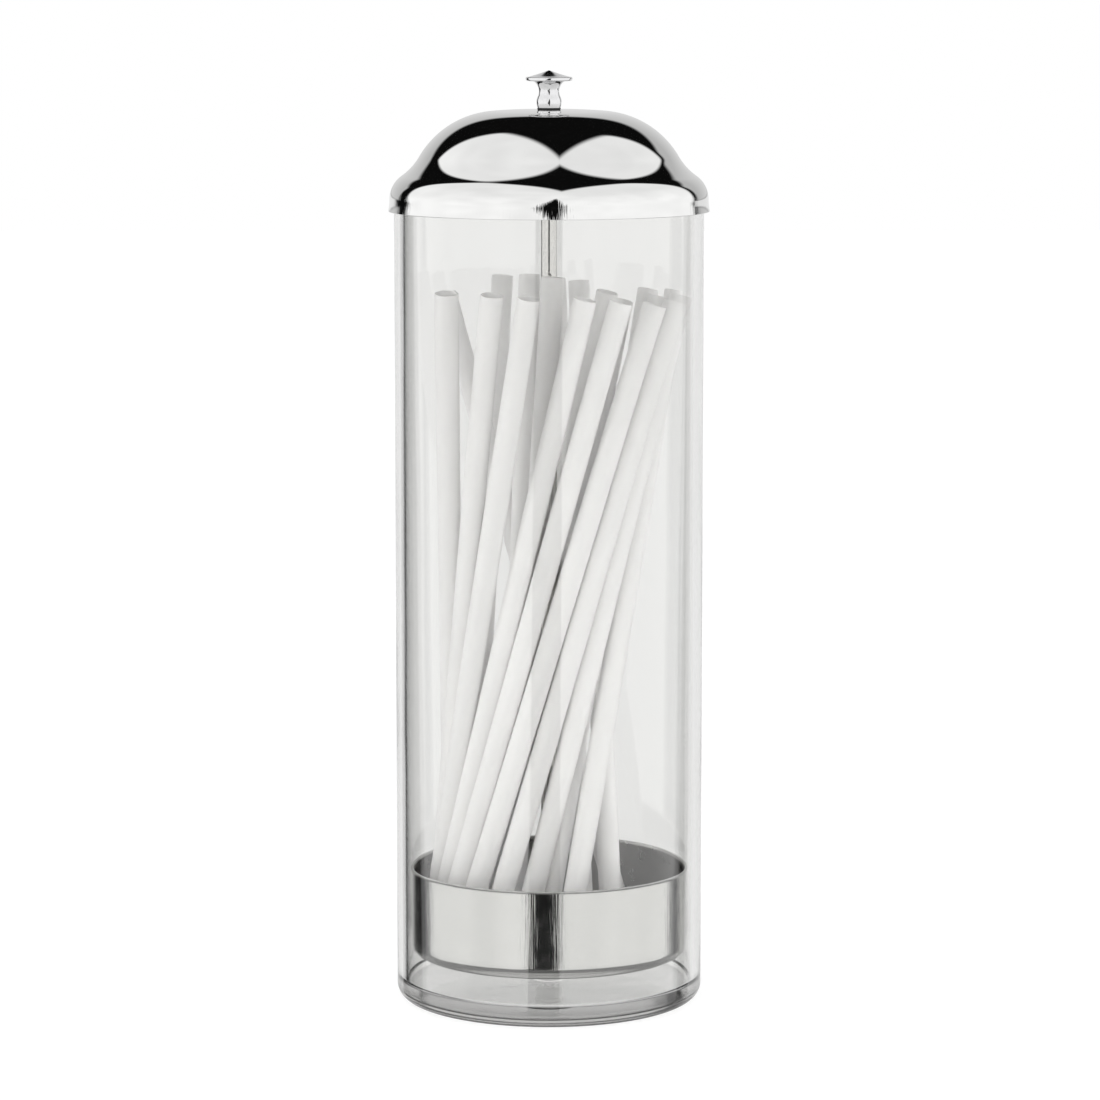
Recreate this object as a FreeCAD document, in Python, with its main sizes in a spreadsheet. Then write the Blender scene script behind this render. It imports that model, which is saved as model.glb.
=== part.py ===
import FreeCAD, Part
import Sketcher
import math
import os

# Straw dispenser: a clear jar with a domed lid that lifts a tray of straws on a central rod.
# Millimetres, +Z up. The origin is the middle of the jar's underside, where it stands.

os.makedirs("parts", exist_ok=True)
doc = FreeCAD.newDocument("straw_dispenser")
sheet = doc.addObject("Spreadsheet::Sheet", "size")

SIZES = [
    ("jar_outer_d", 96.4, "outside diameter of the jar"),
    ("jar_wall", 3.2, "thickness of the jar's side wall"),
    ("jar_height", 255.5, "height of the jar to its rim"),
    ("jar_base", 6.4, "thickness of the jar's floor"),
    ("jar_foot_round", 4.5, "rounding of the jar's lower outside corner"),
    ("jar_floor_round", 4.0, "rounding inside, where wall meets floor"),
    ("jar_rim_round", 1.0, "rounding of both edges of the jar's rim"),
    ("lid_skirt_gap", 0.6, "gap between the jar and the lid's skirt around it"),
    ("lid_seat_gap", 0.3, "gap between the jar's rim and the lid that rests on it"),
    ("lid_metal", 0.8, "thickness of the lid's sheet"),
    ("lid_height", 31.75, "height of the lid from its lower edge to its flat top"),
    ("lid_land_d", 12.0, "flat seat for the knob in the middle of the lid"),
    ("lid_crown_r", 150.0, "radius of the gently crowned top"),
    ("lid_crown_in", 31.6, "how far inside the skirt the crown ends"),
    ("lid_shoulder_r", 28.5, "radius of the big shoulder"),
    ("lid_shoulder_in", 9.3, "how far inside the skirt the shoulder ends"),
    ("lid_edge_r", 8.9, "radius where the lid turns down into its skirt"),
    ("lid_skirt_height", 3.6, "height of the straight skirt"),
    ("lid_bead_height", 1.4, "height of the bead round the lid's lower edge"),
    ("lid_bead_out", 0.4, "how far that bead stands out of the skirt"),
    ("rod_d", 5.0, "diameter of the rod"),
    ("thread_d", 4.0, "crest diameter of the threads at the rod's ends"),
    ("thread_gap", 0.05, "clearance round a thread in its nut or knob"),
    ("thread_in_knob", 7.5, "length of thread inside the knob"),
    ("thread_past_nut", 1.2, "length of thread below the tray's nut"),
    ("thread_point", 0.5, "chamfer at the ends of the threads"),
    ("hole_gap", 0.15, "clearance round the threads in lid, tray and washers"),
    ("washer_d", 9.0, "outside diameter of the steel washers"),
    ("washer_thick", 0.8, "thickness of the steel washers"),
    ("nut_flats", 7.0, "width of the tray's nut across its flats"),
    ("nut_height", 3.2, "height of the tray's nut"),
    ("nut_chamfer", 0.3, "height of the chamfers on the nut's corners"),
    ("gasket_d", 7.4, "outside diameter of the black washer under the knob"),
    ("gasket_thick", 0.7, "thickness of the black washer"),
    ("knob_foot_d", 7.6, "diameter of the knob where it stands on its washer"),
    ("knob_swell_r", 2.6, "radius of the swelling above the knob's foot"),
    ("knob_waist_d", 6.8, "diameter of the knob's waist"),
    ("knob_waist_low", 3.3, "height where the waist starts"),
    ("knob_waist_high", 5.8, "height where the waist ends"),
    ("knob_neck_r", 1.3, "radius of the small hollow between waist and flare"),
    ("knob_flare_d", 7.7, "diameter where the flare below the disc starts"),
    ("knob_flare_low", 6.7, "height where the flare starts"),
    ("knob_flare_r", 14.0, "radius of the hollow flare"),
    ("knob_disc_d", 14.8, "diameter of the knob's disc, which the fingers hold"),
    ("knob_disc_low", 8.6, "height of the disc's lower edge"),
    ("knob_disc_high", 9.6, "height of the disc's upper edge"),
    ("knob_edge_break", 0.2, "chamfer on the disc's edges"),
    ("knob_cone_r", 30.0, "radius of the hollow of the cone on top"),
    ("knob_tip_d", 0.8, "diameter of the cone's blunt tip"),
    ("knob_height", 11.4, "height of the knob to its tip"),
    ("tray_gap", 1.2, "gap between the tray and the jar's wall around it"),
    ("tray_metal", 0.8, "thickness of the tray's sheet"),
    ("tray_height", 28.6, "height of the tray"),
    ("tray_corner_r", 4.0, "outside radius where the tray's wall meets its floor"),
    ("tray_lip_height", 2.2, "height of the slightly opened lip"),
    ("tray_lip_out", 0.3, "how far the lip stands out of the wall below it"),
    ("tray_hang", 8.0, "gap between the tray and the jar's floor"),
    ("straw_d", 7.0, "outside diameter of a straw"),
    ("straw_wall", 0.3, "thickness of a straw's wall"),
    ("straw_length", 214.0, "length of a straw"),
    ("straw_gap", 0.12, "least gap between a straw and what it leans beside"),
    ("straw_wall_gap", 0.3, "least gap between a straw and the jar, past which it slides"),
    ("straw_corner_room", 1.1, "extra room that a foot needs at the tray's rounded corner"),
]

# Where each straw stands and leans, read off the photograph: foot x, y and head x, y. The
# front row comes first, from left to right, then those that lean behind it.
STRAW_PLACES = [
    (-31.0, 19.0, -30.5, -26.0),
    (-37.0, 11.0, -17.0, -31.0),
    (-38.0, 3.0, -6.0, -35.0),
    (-13.0, -16.0, 0.5, -9.5),
    (-36.5, -6.0, 11.0, -29.0),
    (-33.5, -13.0, 22.0, -25.0),
    (-28.0, -20.0, 32.5, -22.0),
    (-21.0, -24.0, 38.0, -15.0),
    (-11.0, -26.0, 39.5, -7.0),
    (4.0, -30.0, 40.0, 9.0),
    (20.0, -20.0, 9.5, 24.0),
    (25.0, 24.0, -34.0, 18.0),
    (-25.0, -3.0, -13.5, 37.0),
    (-14.0, -6.0, -6.5, 31.0),
    (11.0, -8.0, 2.0, 36.5),
    (-28.0, 26.0, 15.5, -2.0),
    (-17.0, 27.0, 23.0, -17.0),
    (-20.0, -10.0, 33.0, -3.0),
    (-3.0, -20.0, 32.0, 22.0),
]

sheet.set("A1", "name")
sheet.set("B1", "value in mm")
sheet.set("C1", "what it is")
for row, (alias, value, meaning) in enumerate(SIZES, start=2):
    sheet.set(f"A{row}", alias)
    sheet.set(f"B{row}", str(value))
    sheet.set(f"C{row}", meaning)
    sheet.setAlias(f"B{row}", alias)
doc.recompute()

# Places that several pieces share, as expressions of the sheet's names
JAR_R = "size.jar_outer_d / 2"
JAR_BORE_R = f"({JAR_R} - size.jar_wall)"
SKIRT_R = f"({JAR_R} + size.lid_skirt_gap + size.lid_metal)"
TRAY_R = f"({JAR_BORE_R} - size.tray_gap)"
TRAY_WALL_R = f"({TRAY_R} - size.tray_lip_out)"
ROD_R = "size.rod_d / 2"
THREAD_R = "size.thread_d / 2"
NUT_BORE_R = f"({THREAD_R} + size.thread_gap)"
HOLE_R = f"({THREAD_R} + size.hole_gap)"

# The lid's inner edge radius rests round the jar's rounded rim, so its height follows from both.
RIM_REACH = "(size.lid_edge_r - size.lid_metal - size.lid_seat_gap - size.jar_rim_round)"
RIM_OFFSET = "(size.lid_edge_r - size.lid_metal - size.lid_skirt_gap - size.jar_rim_round)"
RIM_DROP = f"sqrt({RIM_REACH}^2 - {RIM_OFFSET}^2)"
LID_Z = f"(size.jar_height - size.jar_rim_round - {RIM_DROP} - size.lid_skirt_height)"
LID_TOP_Z = f"({LID_Z} + size.lid_height)"
ROD_TOP_Z = f"({LID_TOP_Z} - size.lid_metal - size.washer_thick)"
GASKET_Z = LID_TOP_Z
KNOB_Z = f"({LID_TOP_Z} + size.gasket_thick)"
TRAY_Z = "(size.jar_base + size.tray_hang)"
TRAY_FLOOR_Z = f"({TRAY_Z} + size.tray_metal)"
ROD_FOOT_Z = f"({TRAY_FLOOR_Z} + size.washer_thick)"
LOWER_WASHER_Z = f"({TRAY_Z} - size.washer_thick)"
NUT_Z = f"({LOWER_WASHER_Z} - size.nut_height)"


def number(expression):
    return float(sheet.evalExpression(expression))


def new_body(name, height="0"):
    """A body with its own name, its local origin at a height on the dispenser's axis."""
    body = doc.addObject("PartDesign::Body", name)
    body.Label = name
    if height != "0":
        body.setExpression("Placement.Base.z", height)
    return body


def new_sketch(body, name, plane_role):
    plane = [item for item in body.Origin.OriginFeatures if item.Role == plane_role][0]
    sketch = body.newObject("Sketcher::SketchObject", name)
    sketch.AttachmentSupport = [(plane, "")]
    sketch.MapMode = "FlatFace"
    return sketch


def bind(sketch, kind, places, expression):
    """A dimension of the sketch that follows an expression."""
    index = sketch.addConstraint(Sketcher.Constraint(kind, *places, number(expression)))
    sketch.setExpression(f"Constraints[{index}]", expression)


def bind_point(sketch, piece, end, across, upward):
    """Tie an end of a piece to its two coordinates."""
    if across == "0":
        sketch.addConstraint(Sketcher.Constraint("PointOnObject", piece, end, -2))
    else:
        bind(sketch, "DistanceX", (-1, 1, piece, end), across)
    if upward == "0":
        sketch.addConstraint(Sketcher.Constraint("PointOnObject", piece, end, -1))
    else:
        bind(sketch, "DistanceY", (-1, 1, piece, end), upward)


def arc_between(start, end, radius, side):
    """The arc from start to end whose centre lies on one side, left or right, of the way there."""
    chord = end - start
    half = chord.Length / 2
    left = FreeCAD.Vector(-chord.y, chord.x, 0) / chord.Length
    towards = left if side == "left" else -left
    centre = (start + end) / 2 + towards * math.sqrt(max(radius * radius - half * half, 0.0))
    return Part.Arc(start, centre - towards * radius, end)


def add_run(sketch, edge, start):
    """Add an edge, and say which of its ends is its start: arcs always run anticlockwise."""
    piece = sketch.addGeometry(edge, False)
    if sketch.getPoint(piece, 1).distanceToPoint(start) < 1e-6:
        return piece, 1, 2
    return piece, 2, 1


def draw_outline(sketch, corners):
    """A closed outline through corners. A corner holds x and y, and where an arc runs from it
    to the next one, also the arc's radius and the side on which its centre lies."""
    points = [FreeCAD.Vector(number(corner[0]), number(corner[1]), 0) for corner in corners]
    runs = []
    for index, corner in enumerate(corners):
        here = points[index]
        there = points[(index + 1) % len(points)]
        edge = Part.LineSegment(here, there)
        if len(corner) == 4:
            edge = arc_between(here, there, number(corner[2]), corner[3])
        runs.append(add_run(sketch, edge, here))
    for index, corner in enumerate(corners):
        piece, start, end = runs[index]
        following, next_start, next_end = runs[(index + 1) % len(runs)]
        sketch.addConstraint(Sketcher.Constraint("Coincident", piece, end, following, next_start))
        bind_point(sketch, piece, start, corner[0], corner[1])
        if len(corner) == 4:
            bind(sketch, "Radius", (piece,), corner[2])


def revolve(body, sketch):
    turned = body.newObject("PartDesign::Revolution", body.Name + "_turned")
    turned.Profile = sketch
    turned.ReferenceAxis = (sketch, ["V_Axis"])
    turned.Angle = 360.0
    doc.recompute()
    return turned


def turned_body(name, height, corners):
    """A body of revolution about the dispenser's axis. Corners hold radius and height."""
    body = new_body(name, height)
    sketch = new_sketch(body, name + "_outline", "XZ_Plane")
    draw_outline(sketch, corners)
    revolve(body, sketch)
    return body


def draw_circle(sketch, radius):
    circle = sketch.addGeometry(Part.Circle(FreeCAD.Vector(0, 0, 0), FreeCAD.Vector(0, 0, 1),
                                            number(radius)), False)
    sketch.addConstraint(Sketcher.Constraint("Coincident", circle, 3, -1, 1))
    bind(sketch, "Radius", (circle,), radius)


def pad(body, sketch, name, length):
    solid = body.newObject("PartDesign::Pad", name)
    solid.Profile = sketch
    solid.setExpression("Length", length)
    doc.recompute()
    return solid


def ring_edges(feature, radius, height):
    """The names of a feature's round edges of one radius at one height."""
    names = []
    for index, edge in enumerate(feature.Shape.Edges, start=1):
        if not isinstance(edge.Curve, Part.Circle):
            continue
        same_radius = abs(edge.Curve.Radius - number(radius)) < 1e-4
        same_height = abs(edge.Curve.Center.z - number(height)) < 1e-4
        if same_radius and same_height:
            names.append(f"Edge{index}")
    return names


def round_edges(body, base, name, edges, radius):
    rounded = body.newObject("PartDesign::Fillet", name)
    rounded.Base = (base, edges)
    rounded.setExpression("Radius", radius)
    doc.recompute()
    return rounded


# Jar: one clear moulding, a straight tube on a thick floor. It is hollowed from above and its
# corners are rounded.

def make_jar():
    body = new_body("jar")
    outline = new_sketch(body, "jar_outline", "XY_Plane")
    draw_circle(outline, JAR_R)
    block = pad(body, outline, "jar_block", "size.jar_height")
    bore_outline = new_sketch(body, "jar_bore_outline", "XY_Plane")
    draw_circle(bore_outline, JAR_BORE_R)
    bore_outline.setExpression("AttachmentOffset.Base.z", "size.jar_height")
    bore = body.newObject("PartDesign::Pocket", "jar_bore")
    bore.Profile = bore_outline
    bore.setExpression("Length", "size.jar_height - size.jar_base")
    doc.recompute()
    if bore.Shape.Volume >= block.Shape.Volume * 0.5:
        raise RuntimeError("the jar's bore cuts away from the solid")
    foot = round_edges(body, bore, "jar_foot", ring_edges(bore, JAR_R, "0"),
                       "size.jar_foot_round")
    floor = round_edges(body, foot, "jar_floor", ring_edges(foot, JAR_BORE_R, "size.jar_base"),
                        "size.jar_floor_round")
    rim = ring_edges(floor, JAR_R, "size.jar_height")
    rim += ring_edges(floor, JAR_BORE_R, "size.jar_height")
    round_edges(body, floor, "jar_rim", rim, "size.jar_rim_round")
    return body


# Lid: one drawn and polished sheet. Its outside is a chain of tangent arcs, crown, shoulder,
# hollow and edge, that ends in a straight skirt with a bead, and its inside follows one sheet
# thickness in. The hollow's radius is the one that is tangent to its neighbours.

def make_lid():
    body = new_body("lid", LID_Z)
    sketch = new_sketch(body, "lid_outline", "XZ_Plane")
    metal = number("size.lid_metal")
    top = number("size.lid_height")
    hole = number(HOLE_R)
    skirt = number(SKIRT_R)
    bead = number("size.lid_bead_height")
    crown_r = number("size.lid_crown_r")
    shoulder_r = number("size.lid_shoulder_r")
    edge_r = number("size.lid_edge_r")
    land_end = FreeCAD.Vector(number("size.lid_land_d / 2"), top, 0)
    crown_mid = land_end - FreeCAD.Vector(0, crown_r, 0)
    crown_x = skirt - number("size.lid_crown_in")
    crown_rise = math.sqrt(crown_r ** 2 - (crown_x - crown_mid.x) ** 2)
    crown_end = FreeCAD.Vector(crown_x, crown_mid.y + crown_rise, 0)
    shoulder_mid = crown_end + (crown_mid - crown_end) * (shoulder_r / crown_r)
    shoulder_x = skirt - number("size.lid_shoulder_in")
    shoulder_rise = math.sqrt(shoulder_r ** 2 - (shoulder_x - shoulder_mid.x) ** 2)
    shoulder_end = FreeCAD.Vector(shoulder_x, shoulder_mid.y + shoulder_rise, 0)
    edge_mid = FreeCAD.Vector(skirt - edge_r, number("size.lid_skirt_height"), 0)
    outward = (shoulder_end - shoulder_mid) / shoulder_r
    apart = shoulder_end - edge_mid
    hollow_r = (apart.dot(apart) - edge_r ** 2) / (2 * (edge_r - apart.dot(outward)))
    hollow_mid = shoulder_end + outward * hollow_r
    hollow_end = hollow_mid + (edge_mid - hollow_mid) * (hollow_r / (hollow_r + edge_r))
    skirt_top = FreeCAD.Vector(skirt, edge_mid.y, 0)
    skirt_low = FreeCAD.Vector(skirt, bead, 0)

    def inside(point, centre, radius, inner_radius):
        return centre + (point - centre) * (inner_radius / radius)

    inner_land_end = FreeCAD.Vector(land_end.x, top - metal, 0)
    inner_crown_end = inside(crown_end, crown_mid, crown_r, crown_r - metal)
    inner_shoulder_end = inside(shoulder_end, shoulder_mid, shoulder_r, shoulder_r - metal)
    inner_hollow_end = inside(hollow_end, edge_mid, edge_r, edge_r - metal)
    inner_skirt_top = FreeCAD.Vector(skirt - metal, edge_mid.y, 0)
    bead_r = number("(size.lid_bead_height^2 / 4 + size.lid_bead_out^2) / 2 / size.lid_bead_out")
    points = [FreeCAD.Vector(hole, top, 0), land_end, crown_end, shoulder_end, hollow_end,
              skirt_top, skirt_low, FreeCAD.Vector(skirt, 0, 0),
              FreeCAD.Vector(skirt - metal, 0, 0), inner_skirt_top, inner_hollow_end,
              inner_shoulder_end, inner_crown_end, inner_land_end,
              FreeCAD.Vector(hole, top - metal, 0)]
    bends = {1: (crown_r, "right"), 2: (shoulder_r, "right"), 3: (hollow_r, "left"),
             4: (edge_r, "right"), 6: (bead_r, "right"), 9: (edge_r - metal, "left"),
             10: (hollow_r + metal, "right"), 11: (shoulder_r - metal, "left"),
             12: (crown_r - metal, "left")}
    runs = []
    for index, here in enumerate(points):
        there = points[(index + 1) % len(points)]
        edge = Part.LineSegment(here, there)
        if index in bends:
            edge = arc_between(here, there, bends[index][0], bends[index][1])
        runs.append(add_run(sketch, edge, here))

    def join(index, kind):
        piece, start, end = runs[index]
        following, next_start, next_end = runs[(index + 1) % len(runs)]
        sketch.addConstraint(Sketcher.Constraint(kind, piece, end, following, next_start))

    for index in (0, 1, 2, 3, 4, 8, 9, 10, 11, 12):
        join(index, "Tangent")
    for index in (5, 6, 7, 13, 14):
        join(index, "Coincident")
    for index in (0, 7, 13):
        sketch.addConstraint(Sketcher.Constraint("Horizontal", runs[index][0]))
    for index in (5, 8, 14):
        sketch.addConstraint(Sketcher.Constraint("Vertical", runs[index][0]))
    for outer, inner in ((1, 12), (2, 11), (3, 10), (4, 9)):
        sketch.addConstraint(Sketcher.Constraint("Coincident", runs[inner][0], 3,
                                                 runs[outer][0], 3))
    bind_point(sketch, runs[0][0], 1, HOLE_R, "size.lid_height")
    bind(sketch, "DistanceX", (-1, 1, runs[0][0], 2), "size.lid_land_d / 2")
    bind(sketch, "DistanceX", (-1, 1, *runs[1][::2]), f"{SKIRT_R} - size.lid_crown_in")
    bind(sketch, "DistanceX", (-1, 1, *runs[2][::2]), f"{SKIRT_R} - size.lid_shoulder_in")
    bind(sketch, "DistanceY", (-1, 1, runs[4][0], 3), "size.lid_skirt_height")
    bind_point(sketch, runs[5][0], 2, SKIRT_R, "size.lid_bead_height")
    sketch.addConstraint(Sketcher.Constraint("PointOnObject", runs[7][0], 1, -1))
    bind(sketch, "DistanceX", (-1, 1, runs[7][0], 1), SKIRT_R)
    bind(sketch, "Radius", (runs[1][0],), "size.lid_crown_r")
    bind(sketch, "Radius", (runs[2][0],), "size.lid_shoulder_r")
    bind(sketch, "Radius", (runs[4][0],), "size.lid_edge_r")
    bind(sketch, "Radius", (runs[6][0],),
         "(size.lid_bead_height^2 / 4 + size.lid_bead_out^2) / 2 / size.lid_bead_out")
    bind(sketch, "Radius", (runs[9][0],), "size.lid_edge_r - size.lid_metal")
    revolve(body, sketch)
    return body


# Rod: ground steel, turned down to a threaded end below the tray and another inside the knob.
# Its two shoulders carry the lid and hold the tray.

def make_rod():
    top = f"({ROD_TOP_Z} - {ROD_FOOT_Z})"
    upper = "(size.washer_thick + size.lid_metal + size.gasket_thick + size.thread_in_knob)"
    lower = ("(2 * size.washer_thick + size.tray_metal + size.nut_height"
             " + size.thread_past_nut)")
    point_r = f"{THREAD_R} - size.thread_point"
    return turned_body("rod", ROD_FOOT_Z, [
        ("0", f"-{lower}"),
        (point_r, f"-{lower}"),
        (THREAD_R, f"-{lower} + size.thread_point"),
        (THREAD_R, "0"),
        (ROD_R, "0"),
        (ROD_R, top),
        (THREAD_R, top),
        (THREAD_R, f"{top} + {upper} - size.thread_point"),
        (point_r, f"{top} + {upper}"),
        ("0", f"{top} + {upper}"),
    ])


# Knob: turned bar with a blind threaded hole. A swelling and a waist below, a thin disc to
# lift by, and a low hollow cone on top.

def make_knob():
    disc_r = "size.knob_disc_d / 2"
    return turned_body("knob", KNOB_Z, [
        (NUT_BORE_R, "0"),
        ("size.knob_foot_d / 2", "0", "size.knob_swell_r", "left"),
        ("size.knob_waist_d / 2", "size.knob_waist_low"),
        ("size.knob_waist_d / 2", "size.knob_waist_high", "size.knob_neck_r", "right"),
        ("size.knob_flare_d / 2", "size.knob_flare_low", "size.knob_flare_r", "right"),
        (f"{disc_r} - size.knob_edge_break", "size.knob_disc_low"),
        (disc_r, "size.knob_disc_low + size.knob_edge_break"),
        (disc_r, "size.knob_disc_high - size.knob_edge_break"),
        (f"{disc_r} - size.knob_edge_break", "size.knob_disc_high", "size.knob_cone_r", "right"),
        ("size.knob_tip_d / 2", "size.knob_height"),
        ("0", "size.knob_height"),
        ("0", "size.thread_in_knob + size.thread_point"),
        (NUT_BORE_R, "size.thread_in_knob + size.thread_point"),
    ])


# Washers: flat rings. A black one keeps the knob off the polished lid, and steel ones lie
# between the rod's shoulders and the sheet of lid and tray, and above the tray's nut.

def make_washer(name, height, outer_d, thickness):
    return turned_body(name, height, [
        (HOLE_R, "0"),
        (f"{outer_d} / 2", "0"),
        (f"{outer_d} / 2", thickness),
        (HOLE_R, thickness),
    ])


# Nut: a hexagon with a round bore, its corners turned off above and below.

def make_nut():
    body = new_body("tray_nut", NUT_Z)
    hexagon = new_sketch(body, "nut_hexagon", "XY_Plane")
    corner = "size.nut_flats / sqrt(3)"
    flat = "size.nut_flats / 2"
    draw_outline(hexagon, [
        (corner, "0"),
        (f"{corner} / 2", flat),
        (f"-{corner} / 2", flat),
        (f"-{corner}", "0"),
        (f"-{corner} / 2", f"-{flat}"),
        (f"{corner} / 2", f"-{flat}"),
    ])
    block = pad(body, hexagon, "nut_block", "size.nut_height")
    turning = new_sketch(body, "nut_turning", "XZ_Plane")
    beyond = f"{corner} + size.nut_chamfer"
    draw_outline(turning, [
        (flat, "size.nut_height"),
        (beyond, "size.nut_height"),
        (beyond, "size.nut_height - size.nut_chamfer"),
        (corner, "size.nut_height - size.nut_chamfer"),
    ])
    draw_outline(turning, [
        (flat, "0"),
        (beyond, "0"),
        (beyond, "size.nut_chamfer"),
        (corner, "size.nut_chamfer"),
    ])
    chamfers = body.newObject("PartDesign::Groove", "nut_chamfers")
    chamfers.Profile = turning
    chamfers.ReferenceAxis = (turning, ["V_Axis"])
    chamfers.Angle = 360.0
    doc.recompute()
    bore_outline = new_sketch(body, "nut_bore_outline", "XY_Plane")
    draw_circle(bore_outline, NUT_BORE_R)
    bore = body.newObject("PartDesign::Pocket", "nut_bore")
    bore.Profile = bore_outline
    bore.Type = 1
    bore.Midplane = True
    doc.recompute()
    if not bore.Shape.Volume < chamfers.Shape.Volume < block.Shape.Volume:
        raise RuntimeError("the nut's chamfers or bore cut nothing")
    return body


# Tray: a shallow cup drawn from sheet steel, with a rounded corner, a hole for the rod and a
# lip that opens a little and ends in a rounded edge.

def make_tray():
    metal = "size.tray_metal"
    lip_low = "size.tray_height - size.tray_lip_height"
    lip_start = f"{lip_low} + size.tray_lip_out"
    edge = f"size.tray_height - {metal} / 2"
    corner = "size.tray_corner_r"
    return turned_body("tray", TRAY_Z, [
        (HOLE_R, "0"),
        (f"{TRAY_WALL_R} - {corner}", "0", corner, "left"),
        (TRAY_WALL_R, corner),
        (TRAY_WALL_R, lip_low),
        (TRAY_R, lip_start),
        (TRAY_R, edge, f"{metal} / 2", "left"),
        (f"{TRAY_R} - {metal}", edge),
        (f"{TRAY_R} - {metal}", lip_start),
        (f"{TRAY_WALL_R} - {metal}", lip_low),
        (f"{TRAY_WALL_R} - {metal}", corner, f"{corner} - {metal}", "right"),
        (f"{TRAY_WALL_R} - {corner}", metal),
        (HOLE_R, metal),
    ])


# Straws: thin tubes of one length, cut square, that stand on the tray's floor and lean. They
# start where the photograph shows them, and are eased apart until none touches another, the
# rod, the tray's wall or the jar's wall.

STRAW_R = number("size.straw_d / 2")
STRAW_LENGTH = number("size.straw_length")
STRAW_GAP = number("size.straw_gap")
STRAW_FLOOR = number(TRAY_FLOOR_Z) + STRAW_GAP
STEEPEST_LEAN = 0.3
EASING_ROUNDS = 400
EASING_MARGIN = 0.01


def straw_ends(place):
    """The middle of a straw's foot and of its head. Its lowest point stands on the floor."""
    lean = math.hypot(place[2] - place[0], place[3] - place[1])
    foot_z = STRAW_FLOOR + STRAW_R * lean / STRAW_LENGTH
    rise = math.sqrt(STRAW_LENGTH ** 2 - lean ** 2)
    foot = FreeCAD.Vector(place[0], place[1], foot_z)
    return foot, FreeCAD.Vector(place[2], place[3], foot_z + rise)


def nearest(first, second):
    """How far along two straight lines, as shares, they come closest, and the way between."""
    along = first[1] - first[0]
    other = second[1] - second[0]
    between = first[0] - second[0]
    cross = along.dot(other)
    spread = along.dot(along) * other.dot(other) - cross ** 2
    share = 0.0
    if spread > 1e-6:
        share = (cross * other.dot(between) - along.dot(between) * other.dot(other)) / spread
    share = min(max(share, 0.0), 1.0)
    other_share = (cross * share + other.dot(between)) / other.dot(other)
    if not 0.0 <= other_share <= 1.0:
        other_share = min(max(other_share, 0.0), 1.0)
        share = (cross * other_share - along.dot(between)) / along.dot(along)
        share = min(max(share, 0.0), 1.0)
    return share, other_share, between + along * share - other * other_share


def shift(place, share, way, distance):
    """Move a straw level by a distance at one point along it, more at its nearer end."""
    level = FreeCAD.Vector(way.x, way.y, 0)
    if level.Length < 1e-6:
        level = FreeCAD.Vector(1, 0, 0)
    step = level.normalize() * (distance / (share ** 2 + (1 - share) ** 2))
    place[0] += step.x * (1 - share)
    place[1] += step.y * (1 - share)
    place[2] += step.x * share
    place[3] += step.y * share


def ease_from_axis(place):
    """Keep a straw off the rod, and its foot off the washer round the rod."""
    axis = (FreeCAD.Vector(0, 0, 0), FreeCAD.Vector(0, 0, number(LID_TOP_Z)))
    share, _, way = nearest(straw_ends(place), axis)
    short = STRAW_R + number(ROD_R) + STRAW_GAP - way.Length
    if short > 0:
        shift(place, share, way, short + EASING_MARGIN)
    foot = FreeCAD.Vector(place[0], place[1], 0)
    foot_short = STRAW_R + number("size.washer_d / 2") + STRAW_GAP - foot.Length
    if foot_short > 0:
        shift(place, 0.0, foot, foot_short + EASING_MARGIN)
    return max(short, foot_short)


def ease_from_walls(place):
    """Keep a straw inside the tray at foot and lip, and inside the jar at its head."""
    foot, head = straw_ends(place)
    radius = STRAW_R * STRAW_LENGTH / (head.z - foot.z)
    tray_bore = number(f"{TRAY_WALL_R} - size.tray_metal") - radius - STRAW_GAP
    jar_bore = number(JAR_BORE_R) - radius - number("size.straw_wall_gap")
    lip = (number(f"{TRAY_Z} + size.tray_height") - foot.z) / (head.z - foot.z)
    limits = ((0.0, tray_bore - number("size.straw_corner_room")), (lip, tray_bore),
              (1.0, jar_bore))
    worst = 0.0
    for share, limit in limits:
        spot = foot + (head - foot) * share
        over = math.hypot(spot.x, spot.y) - limit
        if over > 0:
            shift(place, share, -spot, over + EASING_MARGIN)
        worst = max(worst, over)
    return worst


def eased_places():
    places = [list(place) for place in STRAW_PLACES]
    for _ in range(EASING_ROUNDS):
        worst = 0.0
        for index, place in enumerate(places):
            for other in places[index + 1:]:
                share, other_share, way = nearest(straw_ends(place), straw_ends(other))
                short = 2 * STRAW_R + STRAW_GAP - way.Length
                if short > 0:
                    shift(place, share, way, (short + EASING_MARGIN) / 2)
                    shift(other, other_share, -way, (short + EASING_MARGIN) / 2)
                worst = max(worst, short)
            worst = max(worst, ease_from_axis(place), ease_from_walls(place))
        if worst <= 0:
            break
    return places


def make_straw(name, place):
    body = new_body(name)
    sketch = new_sketch(body, name + "_section", "XY_Plane")
    draw_circle(sketch, "size.straw_d / 2")
    draw_circle(sketch, "size.straw_d / 2 - size.straw_wall")
    pad(body, sketch, name + "_tube", "size.straw_length")
    foot, head = straw_ends(place)
    lean = FreeCAD.Rotation(FreeCAD.Vector(0, 0, 1), head - foot)
    body.Placement = FreeCAD.Placement(foot, lean)
    return body


pieces = [
    make_jar(),
    make_lid(),
    make_washer("lid_washer", ROD_TOP_Z, "size.washer_d", "size.washer_thick"),
    make_washer("knob_washer", GASKET_Z, "size.gasket_d", "size.gasket_thick"),
    make_knob(),
    make_rod(),
    make_washer("tray_upper_washer", TRAY_FLOOR_Z, "size.washer_d", "size.washer_thick"),
    make_tray(),
    make_washer("tray_lower_washer", LOWER_WASHER_Z, "size.washer_d", "size.washer_thick"),
    make_nut(),
]
for count, place in enumerate(eased_places(), start=1):
    pieces.append(make_straw(f"straw_{count:02d}", place))
doc.recompute()

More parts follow.
